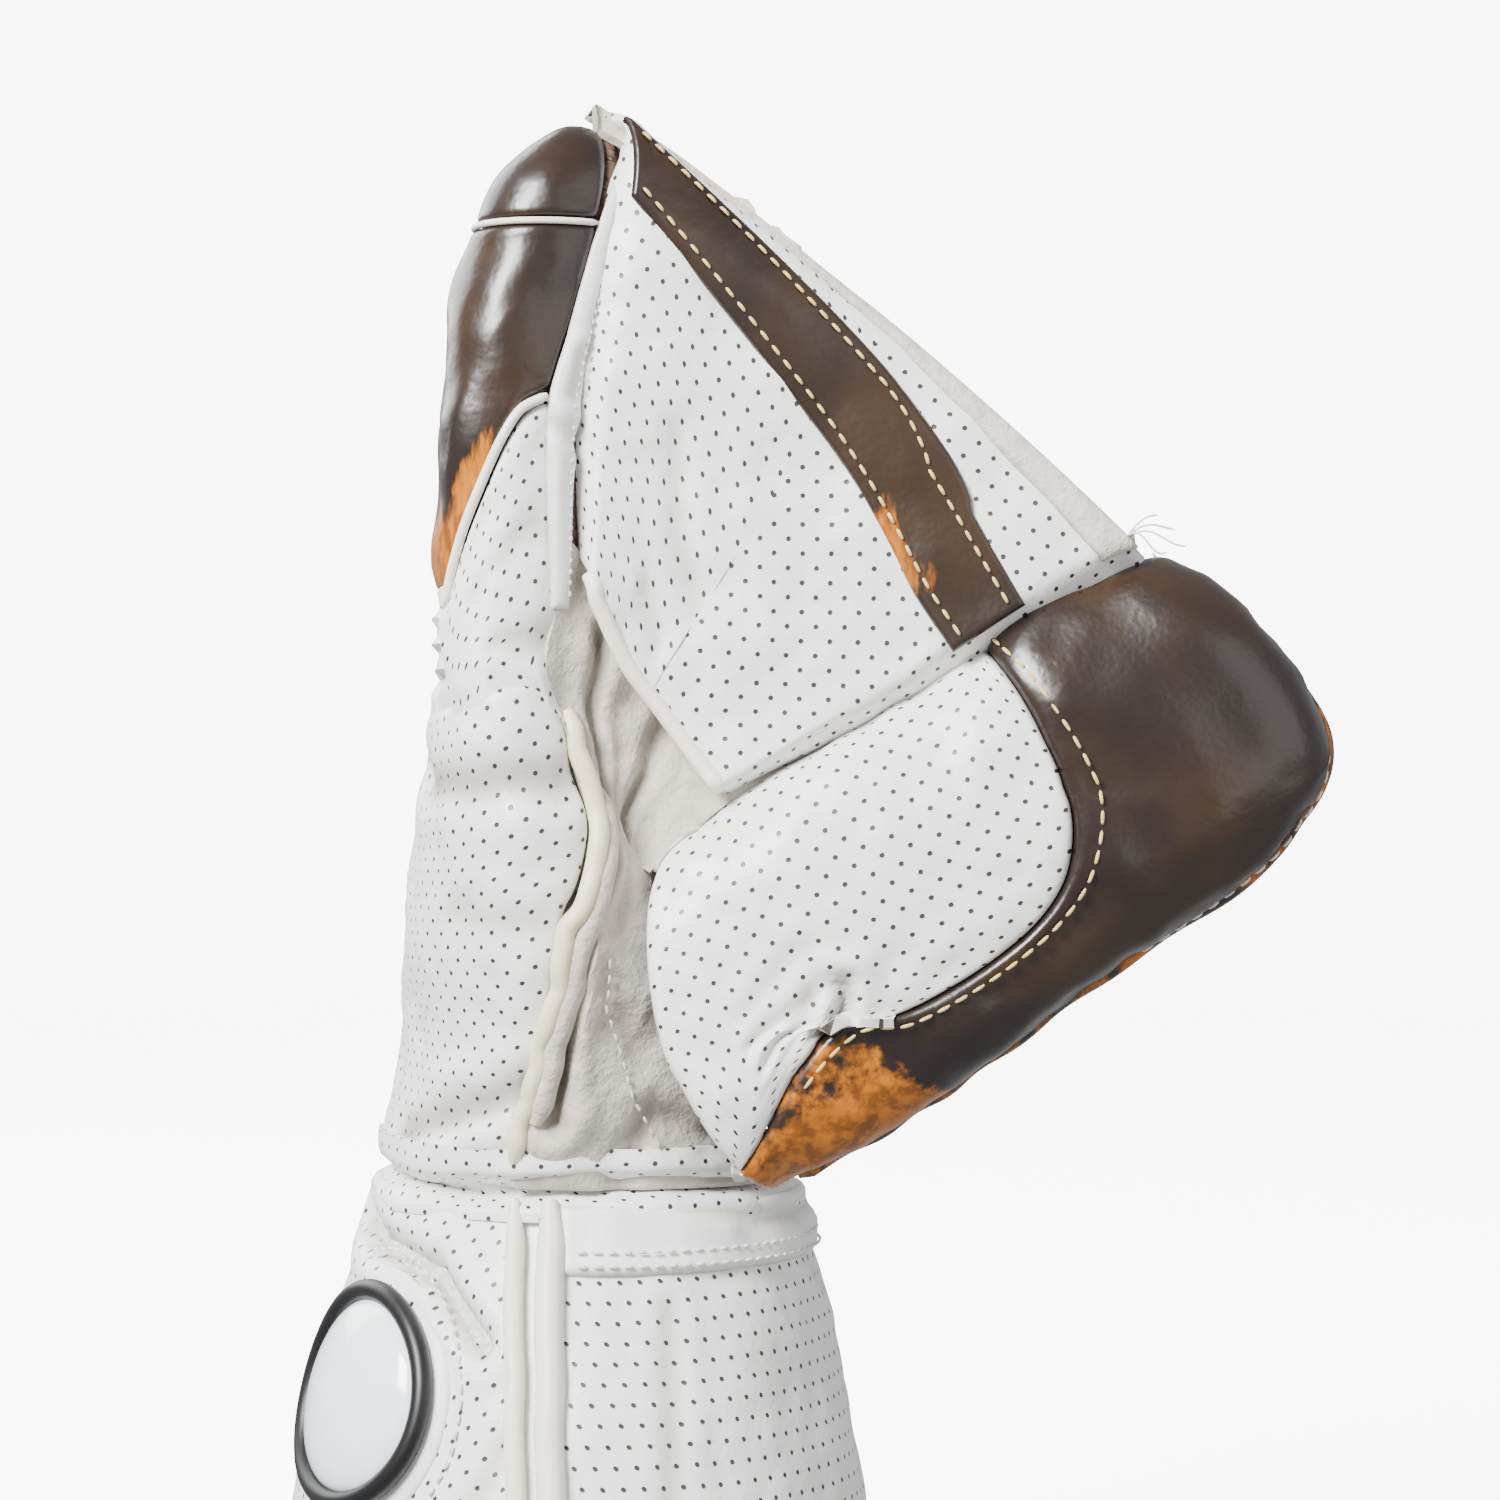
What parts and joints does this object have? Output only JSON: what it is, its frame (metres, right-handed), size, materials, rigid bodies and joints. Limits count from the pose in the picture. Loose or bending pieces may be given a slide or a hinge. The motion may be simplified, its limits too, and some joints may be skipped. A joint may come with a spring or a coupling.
{
  "type": "wicket-keeping glove",
  "caption": "Left-hand padded leather catching glove with separate finger stalls, a thumb joined to the index finger by a stitched web, and a flared gauntlet cuff.",
  "frame": {"origin": "middle of the glove's footprint, on the plane of the cuff's lower hem", "axes": "+Z from the cuff's hem to the fingertips, +X to the palm side, +Y from the thumb side to the little finger"},
  "size_m": [0.2029, 0.1717, 0.338],
  "materials": {
    "white_leather": "perforated, semi-matt",
    "brown_leather": "polished",
    "suede": "napped",
    "cream_piping": "smooth",
    "yellow_welt": "worn",
    "palm_rubber": "pimpled",
    "foam": "matt",
    "lining": "matt towelling",
    "gloss_white": "glossy",
    "gloss_black": "glossy",
    "elastic": "gathered"
  },
  "bodies": {
    "cuff": {"cuff_back_panel": "white_leather", "cuff_palm_panel": "white_leather", "cuff_radial_strip": "white_leather", "cuff_back_padding": "lining", "cuff_palm_padding": "lining", "cuff_top_hem": "white_leather", "hem_binding": "cream_piping", "radial_piping_back": "cream_piping", "radial_piping_palm": "cream_piping", "ulnar_piping": "cream_piping", "badge_base": "white_leather", "badge_border": "gloss_black", "badge_face": "gloss_white", "wrist_band": "elastic"},
    "hand": {"back_hand_panel": "white_leather", "back_hand_padding": "foam", "palm_face": "palm_rubber", "palm_padding": "foam", "ulnar_wall": "white_leather", "radial_gusset": "suede", "radial_welt": "yellow_welt", "web_panel": "white_leather", "web_backing": "suede", "web_stripe": "brown_leather", "web_top_binding": "suede", "web_low_binding": "cream_piping", "index_knuckle": "white_leather", "middle_knuckle": "white_leather", "ring_knuckle": "white_leather", "little_knuckle": "white_leather"},
    "index": {"index_back": "brown_leather", "index_palm": "palm_rubber", "index_side_radial": "brown_leather", "index_side_ulnar": "suede", "index_tip": "brown_leather", "index_seam_strip": "white_leather", "index_piping": "cream_piping"},
    "middle": {"middle_back": "brown_leather", "middle_palm": "palm_rubber", "middle_side_radial": "suede", "middle_side_ulnar": "suede", "middle_tip": "brown_leather"},
    "ring": {"ring_back": "brown_leather", "ring_palm": "palm_rubber", "ring_side_radial": "suede", "ring_side_ulnar": "suede", "ring_tip": "brown_leather"},
    "little": {"little_back": "brown_leather", "little_palm": "palm_rubber", "little_side_radial": "suede", "little_side_ulnar": "suede", "little_tip": "brown_leather"},
    "thumb": {"thumb_back_panel": "white_leather", "thumb_cap_back": "brown_leather", "thumb_cap_rim": "brown_leather", "thumb_palm": "palm_rubber", "thumb_web_side": "white_leather", "thumb_tip": "brown_leather", "thumb_rim_welt": "brown_leather"}
  },
  "joints": [
    {"name": "wrist_flex", "type": "hinge", "parent": "cuff", "child": "hand", "pos_m": [-0.0356, 0.0047, 0.117], "axis": [0, 1, 0], "range_deg": [-12, 12], "stiffness_Nm_per_rad": 4, "deforming": ["wrist_band"]},
    {"name": "index_flex", "type": "hinge", "parent": "hand", "child": "index", "pos_m": [-0.0454, -0.0382, 0.225], "axis": [0, 1, 0], "range_deg": [0, 45], "stiffness_Nm_per_rad": 0.6, "deforming": ["index_knuckle", "web_panel", "web_backing", "web_stripe"]},
    {"name": "middle_flex", "type": "hinge", "parent": "hand", "child": "middle", "pos_m": [-0.0383, -0.0086, 0.225], "axis": [0, 1, 0], "range_deg": [0, 50], "stiffness_Nm_per_rad": 0.6, "deforming": ["middle_knuckle"]},
    {"name": "ring_flex", "type": "hinge", "parent": "hand", "child": "ring", "pos_m": [-0.0312, 0.021, 0.225], "axis": [0, 1, 0], "range_deg": [0, 50], "stiffness_Nm_per_rad": 0.6, "deforming": ["ring_knuckle"]},
    {"name": "little_flex", "type": "hinge", "parent": "hand", "child": "little", "pos_m": [-0.0244, 0.0491, 0.225], "axis": [0, 1, 0], "range_deg": [0, 50], "stiffness_Nm_per_rad": 0.5, "deforming": ["little_knuckle"]},
    {"name": "thumb_flex", "type": "hinge", "parent": "hand", "child": "thumb", "pos_m": [-0.0087, -0.0288, 0.1507], "axis": [-0.6273, 0.1681, 0.7604], "range_deg": [0, 25], "stiffness_Nm_per_rad": 1.2, "deforming": ["web_top_binding", "web_low_binding"]}
  ]
}
